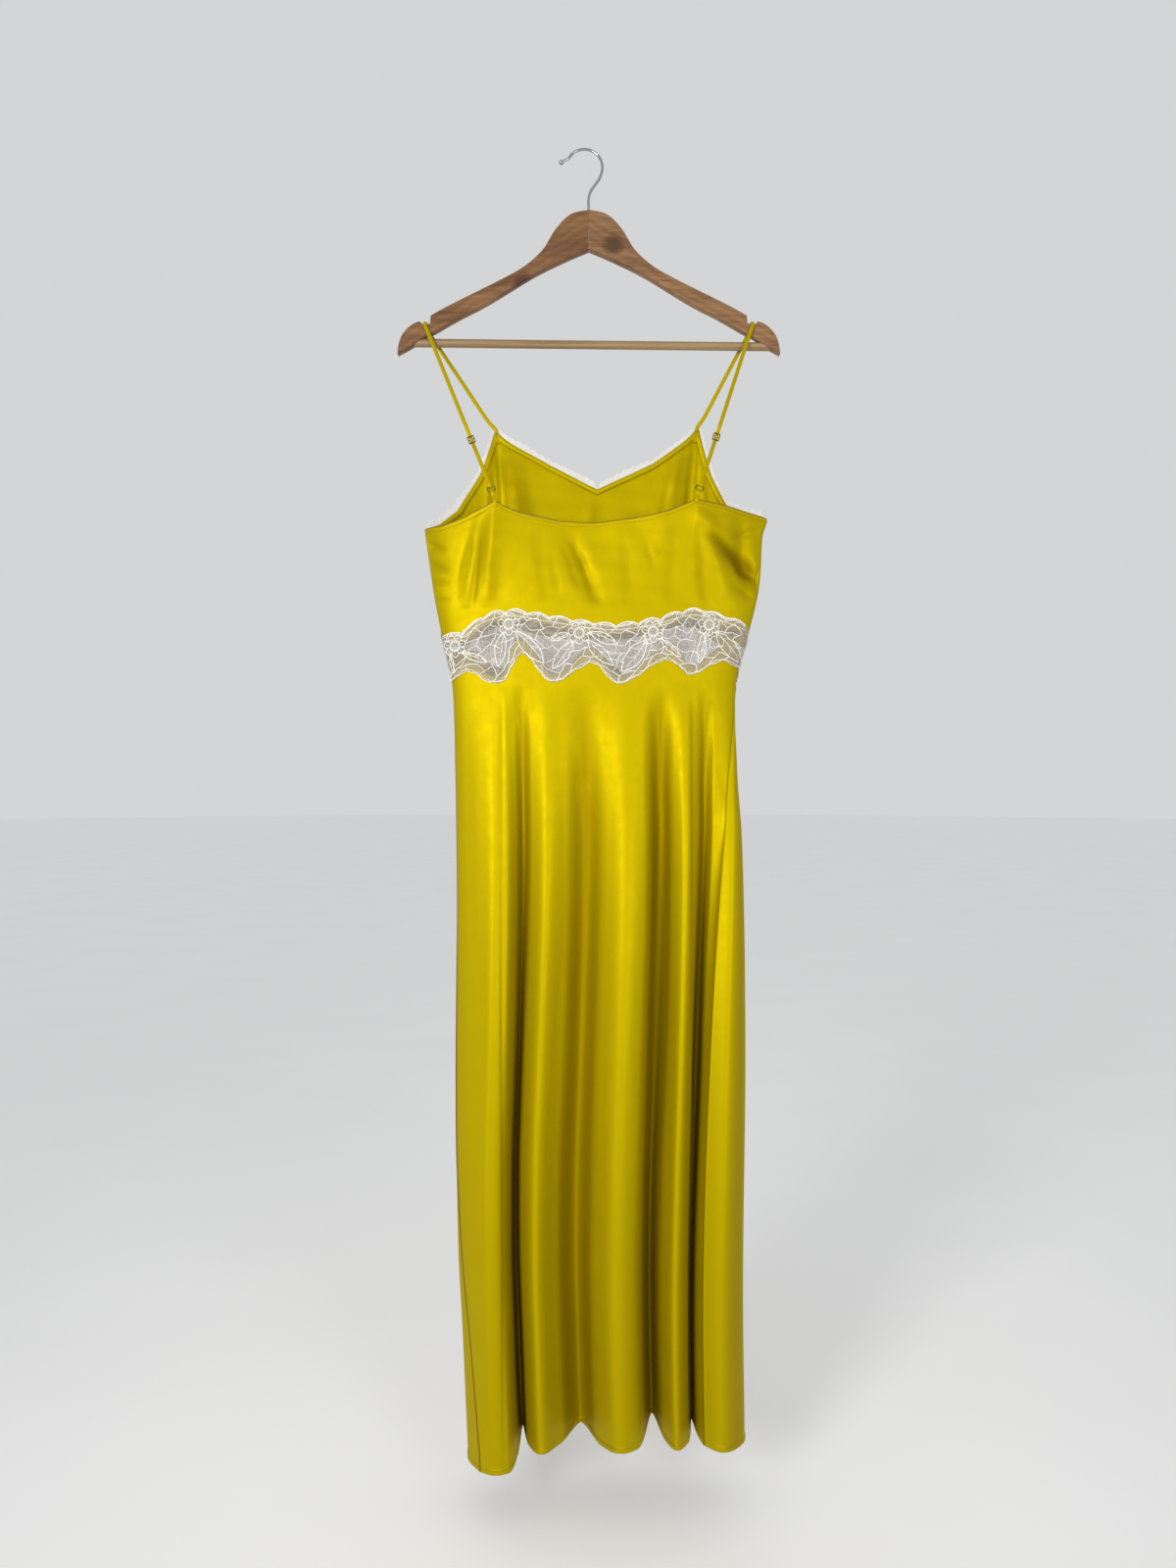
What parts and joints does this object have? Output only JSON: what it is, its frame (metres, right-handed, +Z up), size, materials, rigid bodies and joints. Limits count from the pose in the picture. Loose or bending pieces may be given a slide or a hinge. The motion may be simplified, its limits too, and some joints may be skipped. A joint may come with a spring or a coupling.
{
  "type": "slip dress on a wooden hanger",
  "caption": "Full-length bias-cut satin slip dress with thin straps and an inserted lace waist, hanging in folds from a wooden clothes hanger.",
  "frame": {"origin": "inside of the hanger's hook, over the middle of the hanger, where it hangs on a rail or peg", "axes": "+Z up, X across the hanger, -Y out of the garment's back (the side that faces out), +Y out of its front"},
  "size_m": [0.4412, 0.121, 1.5038],
  "materials": {
    "satin": "satin weave, shiny, chartreuse yellow",
    "lace": "corded net lace, matt, ivory",
    "arm_wood": "stained, clear varnish",
    "bar_wood": "plain turned, thin varnish",
    "hook_chrome": "plated wire",
    "fittings_brass": "dull plated"
  },
  "bodies": {
    "root": {"bodice_back": "satin", "bodice_front": "satin", "skirt_back": "satin", "skirt_front": "satin", "facing_neck_left": "satin", "facing_neck_right": "satin", "facing_armhole_left": "satin", "facing_armhole_right": "satin", "strap_left": "satin", "strap_right": "satin", "strap_loop_left": "satin", "strap_loop_right": "satin", "lace_waist_back": "lace", "lace_waist_front": "lace", "lace_neck_left": "lace", "lace_neck_right": "lace", "lace_armhole_left": "lace", "lace_armhole_right": "lace", "hanger_arm_left": "arm_wood", "hanger_arm_right": "arm_wood", "hanger_bar": "bar_wood", "hanger_hook": "hook_chrome", "slider_left": "fittings_brass", "slider_right": "fittings_brass", "ring_left": "fittings_brass", "ring_right": "fittings_brass"}
  },
  "joints": []
}
